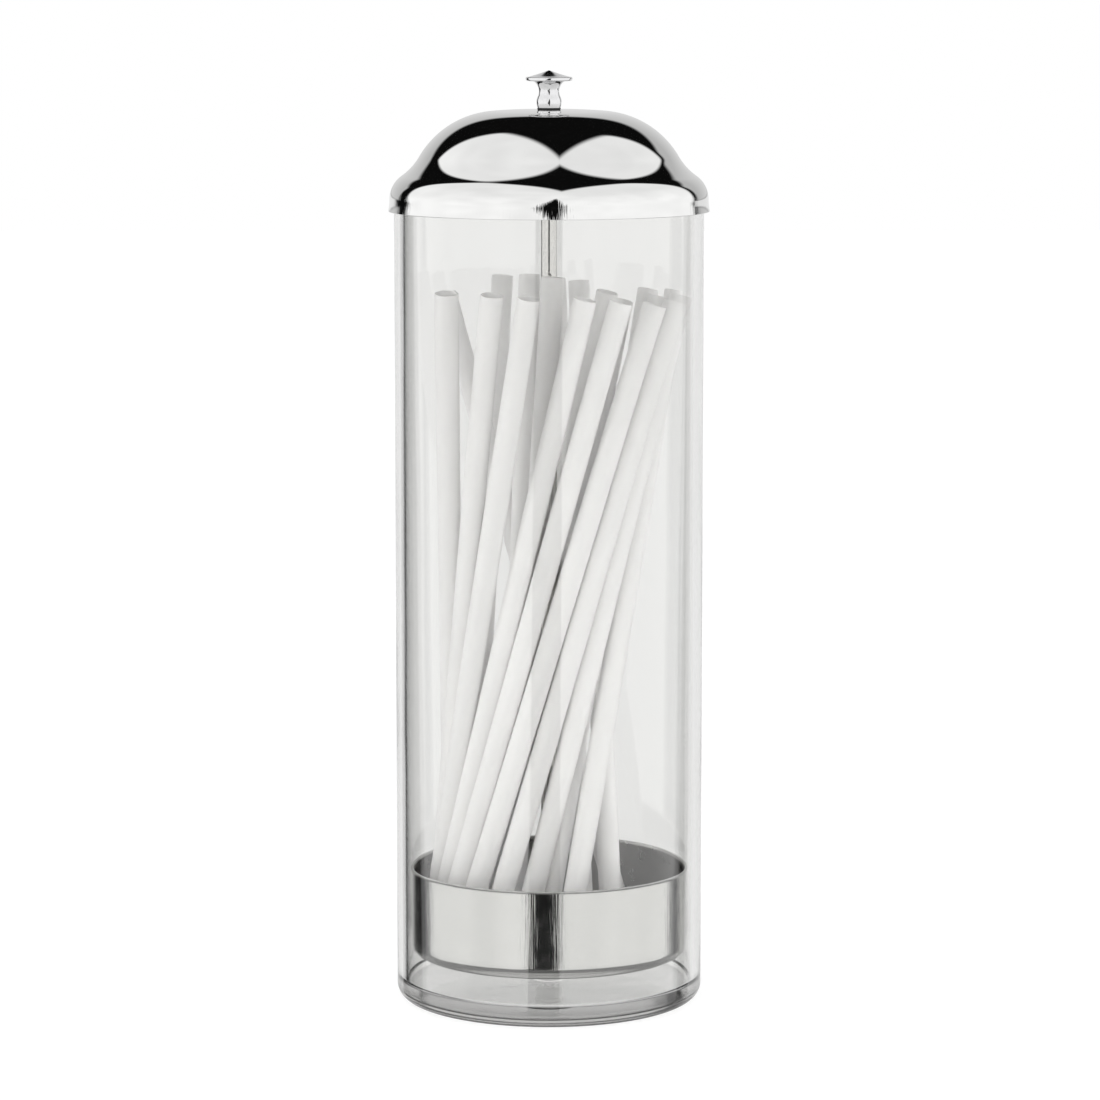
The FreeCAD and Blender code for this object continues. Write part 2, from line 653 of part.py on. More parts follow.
for item in doc.Objects:
    if "Invalid" in item.State or "Error" in item.State:
        raise RuntimeError(f"{item.Name} failed: {item.State}")
for piece in pieces:
    if piece.Shape.isNull() or not piece.Shape.isValid() or len(piece.Shape.Solids) != 1:
        raise RuntimeError(f"{piece.Label} is not one valid solid")
for piece in pieces:
    piece.Shape.exportStep(f"parts/{piece.Label}.step")
    box = piece.Shape.BoundBox
    print(f"{piece.Label:18s} {piece.Shape.Volume:10.1f} mm3  z {box.ZMin:7.2f} to {box.ZMax:7.2f}")
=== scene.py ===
import math

import bmesh
import bpy
from mathutils import Matrix, Vector


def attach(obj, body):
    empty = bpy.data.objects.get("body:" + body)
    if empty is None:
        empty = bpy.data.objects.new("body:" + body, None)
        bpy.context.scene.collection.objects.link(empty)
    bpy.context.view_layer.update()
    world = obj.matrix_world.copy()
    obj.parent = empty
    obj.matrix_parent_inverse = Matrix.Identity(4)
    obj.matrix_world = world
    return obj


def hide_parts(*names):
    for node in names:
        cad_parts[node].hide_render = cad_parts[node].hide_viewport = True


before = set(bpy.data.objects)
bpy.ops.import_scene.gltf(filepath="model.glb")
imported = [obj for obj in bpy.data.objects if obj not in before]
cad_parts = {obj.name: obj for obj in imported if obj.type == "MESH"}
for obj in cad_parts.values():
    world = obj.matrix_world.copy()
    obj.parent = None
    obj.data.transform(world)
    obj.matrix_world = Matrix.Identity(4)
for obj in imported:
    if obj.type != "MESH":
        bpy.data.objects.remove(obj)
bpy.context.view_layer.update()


# The camera stands 1.33 m in front of the dispenser's axis, a little higher than its knob, and
# looks slightly down through a long lens. It keeps the axis a hair left of the middle.

CAMERA_ASIDE = 0.0003
CAMERA_AWAY = 1.330
CAMERA_HEIGHT = 0.3233
LOOKS_DOWN = 7.74
FOCAL_LENGTH = 139.8

camera_data = bpy.data.cameras.new("camera")
camera_data.sensor_width = 36.0
camera_data.lens = FOCAL_LENGTH
camera_data.clip_start = 0.05
camera_data.clip_end = 50.0
camera = bpy.data.objects.new("camera", camera_data)
camera.location = (CAMERA_ASIDE, -CAMERA_AWAY, CAMERA_HEIGHT)
camera.rotation_euler = (math.radians(90 - LOOKS_DOWN), 0, 0)
bpy.context.scene.collection.objects.link(camera)
bpy.context.scene.camera = camera
bpy.context.scene.view_settings.view_transform = "Standard"


# The studio is a light tent: two white panels lean together round the front and leave a slit
# for the camera and a gap overhead, and a dimmer backdrop stands behind, open at the corners.
# Metal mirrors all of it. Past the object it is white, and through the jar nearly so.

# How bright the tent's parts are, where 1 is white
PANEL_LIGHT = 1.12
BACKDROP_LIGHT = 0.55
BACKDROP_CENTRE = 1.5
TABLE_BELOW = 0.6
TABLE_AROUND = 0.18
CORNER_MIRRORED = 0.004
# How bright they are through the jar
SEEN_THROUGH = 0.88
CORNER_THROUGH = 0.2
FOOT_GLOW = 0.46
# What matt surfaces gather of them, and what the white room behind the tent adds
SOFT_LIGHT = 1.3
ROOM_LIGHT = 0.14
THROUGH_PLASTIC = 1.8
# How soft the tent's edges are, as half their width over their distance
SLIT_SOFT = 0.016
TOP_SOFT = 0.045
SIDE_SOFT = 0.06
BACK_SOFT = 0.05
HORIZON_SOFT = 0.02
TABLE_SOFT = 0.1
CENTRE_SOFT = 1.3
# How far towards the camera the panels' far sides turn
LEFT_TURN = -1.54
RIGHT_TURN = -1.28
# The heights between which the panels fade out at their foot
PANEL_FOOT_LOW = -0.50
PANEL_FOOT_HIGH = -0.32
# How often light crossed the plastic's surface: no more than few where the foot glows, and at
# least many where the light is stray
FEW_CROSSINGS = 3
MANY_CROSSINGS = 5


def add_node(tree, kind, inputs=(), **settings):
    """A node with its settings, and with each named input set or linked."""
    made = tree.nodes.new(kind)
    for name, value in settings.items():
        setattr(made, name, value)
    for socket, value in dict(inputs).items():
        if isinstance(value, bpy.types.NodeSocket):
            tree.links.new(value, made.inputs[socket])
        else:
            made.inputs[socket].default_value = value
    return made


world = bpy.data.worlds.new("light_tent")
world.use_nodes = True
bpy.context.scene.world = world
tent = world.node_tree
tent.nodes.clear()
# Where a ray goes, and how far up it points: the sine of its angle over the horizon
direction = add_node(tent, "ShaderNodeTexCoord").outputs["Generated"]
height = add_node(tent, "ShaderNodeSeparateXYZ", {0: direction}).outputs[2]


def past_edge(side, softness):
    """1 on one side of a straight edge and 0 past it. The edge and the object lie in one plane,
    and side is that plane's normal: how far right, away from the camera and up it points."""
    reach = add_node(tent, "ShaderNodeVectorMath", {0: direction, 1: side},
                     operation="DOT_PRODUCT")
    return add_node(tent, "ShaderNodeMapRange", {"Value": reach.outputs["Value"],
                                                 "From Min": -softness, "From Max": softness},
                    interpolation_type="SMOOTHSTEP").outputs[0]


def overlap(*areas):
    """Where all of the areas are, with their strengths multiplied."""
    result = areas[0]
    for area in areas[1:]:
        result = add_node(tent, "ShaderNodeMath", {0: result, 1: area},
                          operation="MULTIPLY").outputs[0]
    return result


def brightest(*areas):
    """Areas laid over one another. In each direction the brightest one counts."""
    result = areas[0]
    for area in areas[1:]:
        result = add_node(tent, "ShaderNodeMath", {0: result, 1: area},
                          operation="MAXIMUM").outputs[0]
    return result


# Each panel ends at the slit, at the gap overhead, at its far side, which leans in above, and at
# its foot. The slit's left side is bent inwards and its right side outwards.
panel_foot = add_node(tent, "ShaderNodeMapRange", {"Value": height, "From Min": PANEL_FOOT_LOW,
                                                   "From Max": PANEL_FOOT_HIGH},
                      interpolation_type="SMOOTHSTEP").outputs[0]
left_panel = overlap(past_edge((-1.0, 0.14, 0.36), SLIT_SOFT),
                     past_edge((-1.0, 0.14, 0.58), SLIT_SOFT),
                     past_edge((-1.0, -0.52, -0.12), TOP_SOFT),
                     past_edge((-1.0, LEFT_TURN, 0.32), SIDE_SOFT),
                     past_edge((-1.0, LEFT_TURN, 1.5), SIDE_SOFT),
                     panel_foot)
right_panel = overlap(brightest(past_edge((1.0, 0.194, 0.14), SLIT_SOFT),
                                past_edge((1.0, 0.194, -0.25), SLIT_SOFT)),
                      past_edge((1.0, -0.35, -0.295), TOP_SOFT),
                      past_edge((1.0, RIGHT_TURN, 0.12), SIDE_SOFT),
                      past_edge((1.0, RIGHT_TURN, 1.7), SIDE_SOFT),
                      panel_foot)
# The cloth of the panels is a little brighter towards its foot and in places.
folds = add_node(tent, "ShaderNodeTexNoise", {"Vector": direction, "Scale": 2.2, "Detail": 1.0})
patches = add_node(tent, "ShaderNodeMapRange", {"Value": folds.outputs[0], "From Min": 0.3,
                                                "From Max": 0.7, "To Min": 0.93, "To Max": 1.05})
fall = add_node(tent, "ShaderNodeMapRange", {"Value": height, "From Min": 0.1, "From Max": 0.95,
                                             "To Min": 1.03, "To Max": 0.86})
panels = overlap(brightest(left_panel, right_panel), patches.outputs[0], fall.outputs[0],
                 PANEL_LIGHT)
# The backdrop ends at the left corner, at the right corner and overhead, and its middle glows.
above_table = past_edge((0, 0, 1), HORIZON_SOFT)
behind = overlap(past_edge((1.11, 1.0, 0), BACK_SOFT), past_edge((-1.0, 1.0, 0), BACK_SOFT),
                 past_edge((0.12, 0.608, -1.0), BACK_SOFT))
straight_behind = past_edge((0, 1.0, -0.1), CENTRE_SOFT)
centre = add_node(tent, "ShaderNodeMapRange", {"Value": straight_behind, "From Min": 0.88,
                                               "From Max": 1.0, "To Min": 1.0,
                                               "To Max": BACKDROP_CENTRE})
backdrop = overlap(behind, above_table, centre.outputs[0], BACKDROP_LIGHT)
# Behind the object the table carries on as the backdrop does, but further from the left corner.
below_table = add_node(tent, "ShaderNodeMath", {0: 1.0, 1: above_table}, operation="SUBTRACT")
between_corners = overlap(past_edge((1.45, 1.0, 0), TABLE_SOFT),
                          past_edge((-0.84, 1.0, 0), BACK_SOFT))
table_behind = overlap(between_corners, below_table.outputs[0], panel_foot, SEEN_THROUGH)
# Metal mirrors the table brightly from straight below and dimly from further out.
table_below = add_node(tent, "ShaderNodeMapRange", {"Value": height, "From Min": -0.72,
                                                    "From Max": -0.88, "To Max": TABLE_BELOW},
                       interpolation_type="SMOOTHSTEP").outputs[0]
table_around = add_node(tent, "ShaderNodeMapRange", {"Value": height, "From Min": -0.28,
                                                     "From Max": -0.42,
                                                     "To Max": TABLE_AROUND}).outputs[0]
mirrored = brightest(panels, backdrop, brightest(table_below, table_around), CORNER_MIRRORED)
see_through = brightest(mirrored, overlap(behind, SEEN_THROUGH), CORNER_THROUGH)
see_through = add_node(tent, "ShaderNodeMath", {0: see_through, 1: SEEN_THROUGH},
                       operation="MINIMUM").outputs[0]
path = add_node(tent, "ShaderNodeLightPath")


def at_least(count, depth):
    """1 for light that took so many bounces of one kind, and 0 for the rest."""
    return add_node(tent, "ShaderNodeMath", {0: path.outputs[depth], 1: count - 0.5},
                    operation="GREATER_THAN").outputs[0]


# Light that was turned at the jar's surfaces sees the table behind. What the tray mirrored and
# the jar's front then turned back sees none of it, so that the tray's dark strip stays dark.
foot_sector = brightest(between_corners, past_edge((-1.0, LEFT_TURN, 0), SIDE_SOFT),
                        past_edge((1.0, RIGHT_TURN, 0), SIDE_SOFT))
low_down = add_node(tent, "ShaderNodeMapRange", {"Value": height, "From Min": -0.2,
                                                 "From Max": -0.34}).outputs[0]
few_crossings = add_node(tent, "ShaderNodeMath", {0: path.outputs["Transmission Depth"],
                                                  1: FEW_CROSSINGS + 0.5},
                         operation="LESS_THAN").outputs[0]
with_table = brightest(mirrored, table_behind,
                       overlap(foot_sector, low_down, few_crossings, FOOT_GLOW))
stray = overlap(at_least(MANY_CROSSINGS, "Transmission Depth"), at_least(2, "Glossy Depth"))
turned_back = add_node(tent, "ShaderNodeMix", {"Factor": stray, "A": with_table,
                                               "B": mirrored}).outputs[0]
# Matt surfaces gather the tent's light with what the white room behind it adds. What they gather
# through the jar makes up for the light that its walls turn away.
gathered = add_node(tent, "ShaderNodeMath", {0: mirrored, 1: SOFT_LIGHT, 2: ROOM_LIGHT},
                    operation="MULTIPLY_ADD").outputs[0]
made_up = add_node(tent, "ShaderNodeMapRange", {"Value": at_least(1, "Transmission Depth"),
                                                "To Min": 1.0, "To Max": THROUGH_PLASTIC})
gathered = overlap(gathered, made_up.outputs[0])
shade = 1.0
for depth, light in (("Transmission Depth", see_through), ("Glossy Depth", turned_back),
                     ("Diffuse Depth", gathered)):
    shade = add_node(tent, "ShaderNodeMix", {"Factor": at_least(1, depth), "A": shade,
                                             "B": light}).outputs[0]
background = add_node(tent, "ShaderNodeBackground", {"Color": shade, "Strength": 1.0})
add_node(tent, "ShaderNodeOutputWorld", {"Surface": background.outputs[0]})


# The floor is a white table top, larger than the view. Straight on it is white and keeps a soft
# shadow under the jar. Through the jar it is nearly white, and dark where the tent is open. Metal
# doesn't mirror it, because the tent's own light reaches below it.

FLOOR_HALF = 4.0
FLOOR_DROP = 0.0004
FLOOR_WHITE = 0.86
FLOOR_SHADOW = 0.2
FLOOR_PALE = 0.75
CORNER_SOFT = 0.06
NEAR_JAR = 0.10
AWAY_FROM_JAR = 0.16

corners = [(-FLOOR_HALF, -FLOOR_HALF), (FLOOR_HALF, -FLOOR_HALF), (FLOOR_HALF, FLOOR_HALF),
           (-FLOOR_HALF, FLOOR_HALF)]
floor_mesh = bpy.data.meshes.new("floor")
floor_mesh.from_pydata([(x, y, -FLOOR_DROP) for x, y in corners], [], [(0, 1, 2, 3)])
floor = bpy.data.objects.new("floor", floor_mesh)
bpy.context.scene.collection.objects.link(floor)
floor_paint = bpy.data.materials.new("matt_white_table")
floor_paint.use_nodes = True
table_top = floor_paint.node_tree
table_top.nodes.clear()
floor_path = add_node(table_top, "ShaderNodeLightPath")
turns = add_node(table_top, "ShaderNodeMath", {0: floor_path.outputs["Diffuse Depth"],
                                               1: floor_path.outputs["Glossy Depth"]},
                 operation="ADD")
straight = add_node(table_top, "ShaderNodeMath", {0: turns.outputs[0], 1: 0.5},
                    operation="LESS_THAN").outputs[0]
in_plastic = add_node(table_top, "ShaderNodeMath",
                      {0: floor_path.outputs["Transmission Depth"], 1: 0.5},
                      operation="GREATER_THAN").outputs[0]
in_metal = add_node(table_top, "ShaderNodeMath", {0: floor_path.outputs["Glossy Depth"], 1: 0.5},
                    operation="GREATER_THAN").outputs[0]
# Metres past the dark corners' edges, which run out from under the jar: behind it the left and
# the right one have to be passed, and beside it one panel's or the other's.
spot = add_node(table_top, "ShaderNodeTexCoord").outputs["Object"]
past_left, past_right, past_left_panel, past_right_panel = [
    add_node(table_top, "ShaderNodeVectorMath", {0: spot, 1: edge},
             operation="DOT_PRODUCT").outputs["Value"]
    for edge in ((1.54, 1.0, 0), (-1.0, 1.0, 0), (-1.0, LEFT_TURN, 0), (1.0, RIGHT_TURN, 0))]
behind_jar = add_node(table_top, "ShaderNodeMath", {0: past_left, 1: past_right},
                      operation="MINIMUM")
by_panels = add_node(table_top, "ShaderNodeMath", {0: past_left_panel, 1: past_right_panel},
                     operation="MAXIMUM")
bright = add_node(table_top, "ShaderNodeMath", {0: behind_jar.outputs[0],
                                                1: by_panels.outputs[0]}, operation="MAXIMUM")
open_corner = add_node(table_top, "ShaderNodeMapRange", {"Value": bright.outputs[0],
                                                         "From Min": -CORNER_SOFT,
                                                         "From Max": CORNER_SOFT,
                                                         "To Min": CORNER_THROUGH,
                                                         "To Max": SEEN_THROUGH})
distance = add_node(table_top, "ShaderNodeVectorMath", {0: spot}, operation="LENGTH")
near = add_node(table_top, "ShaderNodeMapRange", {"Value": distance.outputs["Value"],
                                                  "From Min": AWAY_FROM_JAR,
                                                  "From Max": NEAR_JAR, "To Max": SEEN_THROUGH})
through = add_node(table_top, "ShaderNodeMath", {0: open_corner.outputs[0], 1: near.outputs[0]},
                   operation="MAXIMUM")


def by_view(straight_on, through_jar, otherwise):
    """One value for the eye, one for the eye through the jar and one for all other light."""
    seen = add_node(table_top, "ShaderNodeMix", {"Factor": in_plastic, "A": straight_on,
                                                 "B": through_jar})
    return add_node(table_top, "ShaderNodeMix", {"Factor": straight, "A": otherwise,
                                                 "B": seen.outputs[0]}).outputs[0]


matt = add_node(table_top, "ShaderNodeBsdfDiffuse",
                {"Color": by_view(FLOOR_SHADOW, 0.0, FLOOR_PALE)})
white = add_node(table_top, "ShaderNodeEmission",
                 {"Color": (1, 1, 1, 1), "Strength": by_view(FLOOR_WHITE, through.outputs[0], 0.0)})
surface = add_node(table_top, "ShaderNodeAddShader", {0: matt.outputs[0], 1: white.outputs[0]})
clear = add_node(table_top, "ShaderNodeBsdfTransparent")
either = add_node(table_top, "ShaderNodeMixShader", {0: in_metal, 1: surface.outputs[0],
                                                     2: clear.outputs[0]})
add_node(table_top, "ShaderNodeOutputMaterial", {"Surface": either.outputs[0]})
floor.data.materials.append(floor_paint)


# Jar: one injection-moulded piece of clear styrene plastic, a straight tube on a thick floor.
# It stands on its flat underside, where the runner was cut off in a shallow dimple, and the
# mould leaves its polished walls very slightly wavy.

JAR_R = 48.2
JAR_BORE_R = 45.0
JAR_HEIGHT = 255.5
JAR_FLOOR = 6.4
JAR_FOOT_ROUND = 4.5
JAR_FLOOR_ROUND = 1.5
JAR_RIM_ROUND = 1.0
DIMPLE_R = 5.0
DIMPLE_DEPTH = 0.25
DIMPLE_ROUND = 2.0
ARC_DEGREES = 5
ARC_STEP = 1.2
LONG_SIDE = 1.0
CORNER_HOLD = 0.12
WAVE_LENGTH = 50 / 3
WAVE_STRETCH = 0.35
MIST_TOP = 6.2
MIST_FULL = 5.4
MIST = 0.16


def outline(corners):
    """Points along an outline in mm. A corner holds radius and height, and where an arc runs
    from it to the next one, also the arc's radius and the side on which its centre lies. A long
    straight side gets a point close to each end, so that smooth shading leaves it flat."""
    points = []
    for index, corner in enumerate(corners):
        here = Vector(corner[:2])
        there = Vector(corners[(index + 1) % len(corners)][:2])
        way = there - here
        if len(corner) == 2:
            points.append(here)
            if way.length > LONG_SIDE:
                points.append(here + way * (CORNER_HOLD / way.length))
                points.append(there - way * (CORNER_HOLD / way.length))
            continue
        radius, side = corner[2:]
        across = Vector((-way.y, way.x)) / way.length * (1 if side == "left" else -1)
        reach = math.sqrt(max(radius ** 2 - way.length ** 2 / 4, 0))
        middle = (here + there) / 2 + across * reach
        begin = math.atan2(here.y - middle.y, here.x - middle.x)
        turn = math.atan2(there.y - middle.y, there.x - middle.x) - begin
        turn = (turn + math.pi) % (2 * math.pi) - math.pi
        steps = max(4, round(abs(turn) / math.radians(ARC_DEGREES)),
                    round(abs(turn) * radius / ARC_STEP))
        for step in range(steps):
            angle = begin + turn * step / steps
            points.append(middle + Vector((math.cos(angle), math.sin(angle))) * radius)
    return points


def shown(name, mesh, crease=35):
    """Put a mesh in the scene as a piece, smooth except at its creases."""
    mesh.shade_smooth()
    mesh.set_sharp_from_angle(angle=math.radians(crease))
    piece = bpy.data.objects.new(name, mesh)
    bpy.context.scene.collection.objects.link(piece)
    return piece


def turned(name, points, sides=192, crease=35):
    """A closed outline in mm, turned about the dispenser's axis."""
    shape = bmesh.new()
    rings = []
    for point in points:
        level = point[1] / 1000
        if point[0] < 1e-6:
            rings.append([shape.verts.new((0, 0, level))])
            continue
        ring = []
        for side in range(sides):
            angle = 2 * math.pi * side / sides
            ring.append(shape.verts.new((point[0] / 1000 * math.cos(angle),
                                         point[0] / 1000 * math.sin(angle), level)))
        rings.append(ring)
    for first, second in zip(rings, rings[1:] + rings[:1]):
        if len(first) == len(second) == 1:
            continue
        for side in range(sides):
            corner = [first[side % len(first)], first[(side + 1) % len(first)],
                      second[(side + 1) % len(second)], second[side % len(second)]]
            shape.faces.new(list(dict.fromkeys(corner)))
    bmesh.ops.recalc_face_normals(shape, faces=shape.faces)
    mesh = bpy.data.meshes.new(name)
    shape.to_mesh(mesh)
    shape.free()
    return shown(name, mesh, crease)


def linear(hex_code):
    """The linear colour of an sRGB hex code, with alpha 1."""
    shares = [int(hex_code[i:i + 2], 16) / 255 for i in (0, 2, 4)]
    return tuple(s / 12.92 if s <= 0.04045 else ((s + 0.055) / 1.055) ** 2.4 for s in shares) + (1,)


def new_material(name):
    """A material with one Principled BSDF. Returns the material, its tree and that node."""
    material = bpy.data.materials.new(name)
    material.use_nodes = True
    tree = material.node_tree
    return material, tree, tree.nodes["Principled BSDF"]


jar = turned("jar_moulding", outline([
    (0, DIMPLE_DEPTH),
    (DIMPLE_R - 1.0, DIMPLE_DEPTH, DIMPLE_ROUND, "right"),
    (DIMPLE_R, 0),
    (JAR_R - JAR_FOOT_ROUND, 0, JAR_FOOT_ROUND, "left"),
    (JAR_R, JAR_FOOT_ROUND),
    (JAR_R, JAR_HEIGHT - JAR_RIM_ROUND, JAR_RIM_ROUND, "left"),
    (JAR_R - JAR_RIM_ROUND, JAR_HEIGHT),
    (JAR_BORE_R + JAR_RIM_ROUND, JAR_HEIGHT, JAR_RIM_ROUND, "left"),
    (JAR_BORE_R, JAR_HEIGHT - JAR_RIM_ROUND),
    (JAR_BORE_R, JAR_FLOOR + JAR_FLOOR_ROUND, JAR_FLOOR_ROUND, "right"),
    (JAR_BORE_R - JAR_FLOOR_ROUND, JAR_FLOOR),
    (0, JAR_FLOOR),
]), sides=256)
# Styrene acrylonitrile bends light at 1.57. It looks colourless in the thin wall and grey along
# the thick edges and the floor, because it takes a little of the light in every millimetre. The
# foot's half of the mould isn't polished, so the foot shows an even, misty grey band. The walls'
# waves are three to 50 mm round the jar, and about three times as long along it.
clear_styrene, tree, skin = new_material("moulded_clear_styrene")
skin.inputs["Base Color"].default_value = linear("FBFBFA")
skin.inputs["IOR"].default_value = 1.57
skin.inputs["Transmission Weight"].default_value = 1.0
place = add_node(tree, "ShaderNodeTexCoord").outputs["Object"]
above_foot = add_node(tree, "ShaderNodeSeparateXYZ", {0: place}).outputs[2]
mist = add_node(tree, "ShaderNodeMapRange", {"Value": above_foot, "From Min": MIST_TOP / 1000,
                                             "From Max": MIST_FULL / 1000, "To Max": MIST})
tree.links.new(mist.outputs[0], skin.inputs["Roughness"])
flow = add_node(tree, "ShaderNodeMapping", {"Vector": place, "Scale": (1.0, 1.0, WAVE_STRETCH)})
waves = add_node(tree, "ShaderNodeTexNoise", {"Vector": flow.outputs[0],
                                              "Scale": 1000 / WAVE_LENGTH,
                                              "Detail": 1.0, "Roughness": 0.4})
ripple = add_node(tree, "ShaderNodeBump", {"Height": waves.outputs[0], "Strength": 0.12,
                                           "Distance": 0.0005})
tree.links.new(ripple.outputs[0], skin.inputs["Normal"])
depth = add_node(tree, "ShaderNodeVolumeAbsorption", {"Color": (0.5, 0.494, 0.484, 1),
                                                      "Density": 10.0})
tree.links.new(depth.outputs[0], tree.nodes["Material Output"].inputs["Volume"])
jar.data.materials.append(clear_styrene)
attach(jar, "jar")
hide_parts("jar")


# Lid: one round of stainless sheet, drawn over a former and polished to a mirror. A crown, a big
# shoulder and a hollow run into the rounded edge, and the trimmed skirt opens a little at its
# foot. The drawing leaves fine upright streaks on the skirt.

SHEET = 0.8
SKIRT_GAP = 0.6
SEAT_GAP = 0.3
LID_R = JAR_R + SKIRT_GAP + SHEET
LID_TOP = 31.35
LAND_R = 6.0
CROWN_R = 150.0
CROWN_IN = 31.6
SHOULDER_R = 28.5
SHOULDER_IN = 9.3
EDGE_R = 8.9
SKIRT_HEIGHT = 3.6
SKIRT_OUT = 0.38
SKIRT_BREAK = 0.12
SKIRT_TRIM = 0.1
SKIRT_STEPS = 10
HOLE_R = 2.15
HOLE_HOLD = 0.15
STREAKS_TOP = 7.5
STREAKS_FULL = 3.0

# The edge's inside rests on the jar's rounded rim, with the seat's gap between them.
rim_reach = EDGE_R - SHEET - SEAT_GAP - JAR_RIM_ROUND
rim_aside = EDGE_R - SHEET - SKIRT_GAP - JAR_RIM_ROUND
rim_drop = math.sqrt(rim_reach ** 2 - rim_aside ** 2)
LID_Z = JAR_HEIGHT - JAR_RIM_ROUND - rim_drop - SKIRT_HEIGHT


def height_on(middle, radius, x):
    """The height at which an arc's upper side stands at a distance from the axis."""
    return middle.y + math.sqrt(radius ** 2 - (x - middle.x) ** 2)


def bend(middle, radius, first, last, steps):
    """Points along an arc from one of its ends to the other, both kept."""
    begin = math.atan2(first.y - middle.y, first.x - middle.x)
    turn = math.atan2(last.y - middle.y, last.x - middle.x) - begin
    turn = (turn + math.pi) % (2 * math.pi) - math.pi
    return [middle + Vector((math.cos(begin + turn * step / steps),
                             math.sin(begin + turn * step / steps))) * radius
            for step in range(steps + 1)]


# Each arc runs on smoothly from the one before. The hollow's radius is the one that touches both
# the shoulder, where it ends, and the edge.
land_end = Vector((LAND_R, LID_TOP))
crown_middle = land_end - Vector((0, CROWN_R))
crown_end = Vector((LID_R - CROWN_IN, height_on(crown_middle, CROWN_R, LID_R - CROWN_IN)))
shoulder_middle = crown_end + (crown_middle - crown_end) * (SHOULDER_R / CROWN_R)
shoulder_end = Vector((LID_R - SHOULDER_IN,
                       height_on(shoulder_middle, SHOULDER_R, LID_R - SHOULDER_IN)))
edge_middle = Vector((LID_R - EDGE_R, SKIRT_HEIGHT))
outward = (shoulder_end - shoulder_middle).normalized()
apart = shoulder_end - edge_middle
hollow_r = (apart.dot(apart) - EDGE_R ** 2) / (2 * (EDGE_R - apart.dot(outward)))
hollow_middle = shoulder_end + outward * hollow_r
hollow_end = hollow_middle + (edge_middle - hollow_middle).normalized() * hollow_r


def dome(inset):
    """The lid's chain of arcs from land to skirt, moved in by a thickness."""
    line = bend(crown_middle, CROWN_R - inset, land_end, crown_end, 14)
    line += bend(shoulder_middle, SHOULDER_R - inset, crown_end, shoulder_end, 40)[1:]
    line += bend(hollow_middle, hollow_r + inset, shoulder_end, hollow_end, 16)[1:]
    line += bend(edge_middle, EDGE_R - inset, hollow_end, Vector((LID_R, SKIRT_HEIGHT)), 28)[1:]
    return line


skirt = [Vector((LID_R + SKIRT_OUT * (step / SKIRT_STEPS) ** 2,
                 SKIRT_HEIGHT - (SKIRT_HEIGHT - SKIRT_BREAK) * step / SKIRT_STEPS))
         for step in range(1, SKIRT_STEPS + 1)]
lid_outline = [Vector((HOLE_R, LID_TOP)), Vector((HOLE_R + HOLE_HOLD, LID_TOP))] + dome(0.0)
lid_outline += skirt + [Vector((LID_R + SKIRT_OUT - SKIRT_TRIM, 0))]
lid_outline += [Vector((LID_R + SKIRT_OUT - SHEET, 0))]
lid_outline += [point - Vector((SHEET, 0)) for point in reversed(skirt)]
lid_outline += list(reversed(dome(SHEET)))
lid_outline += [Vector((HOLE_R + HOLE_HOLD, LID_TOP - SHEET)), Vector((HOLE_R, LID_TOP - SHEET))]
lid = turned("lid_dome", [(p.x, p.y + LID_Z) for p in lid_outline], sides=256)


def drawn_streaks(tree, across_mm, along_mm, radius_mm):
    """Noise drawn out along the axis: round the object it changes every across_mm."""
    place = add_node(tree, "ShaderNodeTexCoord").outputs["Object"]
    parts = add_node(tree, "ShaderNodeSeparateXYZ", {0: place})
    round_way = add_node(tree, "ShaderNodeMath", {0: parts.outputs[1], 1: parts.outputs[0]},
                         operation="ARCTAN2")
    arc = add_node(tree, "ShaderNodeMath", {0: round_way.outputs[0],
                                            1: radius_mm / across_mm}, operation="MULTIPLY")
    climb = add_node(tree, "ShaderNodeMath", {0: parts.outputs[2], 1: 1000 / along_mm},
                     operation="MULTIPLY")
    joined = add_node(tree, "ShaderNodeCombineXYZ", {0: arc.outputs[0], 1: climb.outputs[0]})
    return add_node(tree, "ShaderNodeTexNoise", {"Vector": joined.outputs[0], "Scale": 1.0,
                                                 "Detail": 2.0, "Roughness": 0.6})


# Polished stainless mirrors about four fifths of the light, evenly over the colours. Its real
# streaks are finer than a hair. They are drawn about half a millimetre apart, so that they show,
# and only break up the edges of what the skirt mirrors.
mirror_steel, tree, skin = new_material("mirror_polished_stainless")
skin.inputs["Base Color"].default_value = linear("E6E6E5")
skin.inputs["Metallic"].default_value = 1.0
skin.inputs["Roughness"].default_value = 0.035
streaks = drawn_streaks(tree, 0.55, 14.0, LID_R)
place = add_node(tree, "ShaderNodeTexCoord").outputs["Object"]
up = add_node(tree, "ShaderNodeSeparateXYZ", {0: place}).outputs[2]
on_skirt = add_node(tree, "ShaderNodeMapRange", {"Value": up,
                                                 "From Min": (LID_Z + STREAKS_TOP) / 1000,
                                                 "From Max": (LID_Z + STREAKS_FULL) / 1000},
                    interpolation_type="SMOOTHSTEP")
streak_depth = add_node(tree, "ShaderNodeMath", {0: on_skirt.outputs[0], 1: 0.35},
                        operation="MULTIPLY")
dents = add_node(tree, "ShaderNodeBump", {"Height": streaks.outputs[0],
                                          "Strength": streak_depth.outputs[0],
                                          "Distance": 0.0001})
tree.links.new(dents.outputs[0], skin.inputs["Normal"])
lid.data.materials.append(mirror_steel)
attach(lid, "lift")
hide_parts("lid")


# Knob: turned from bar, threaded blind from below, polished and chromed. Fingers pull on the
# thin disc. A swelling, a waist and a hollow flare lie below it, and a low cone on top.

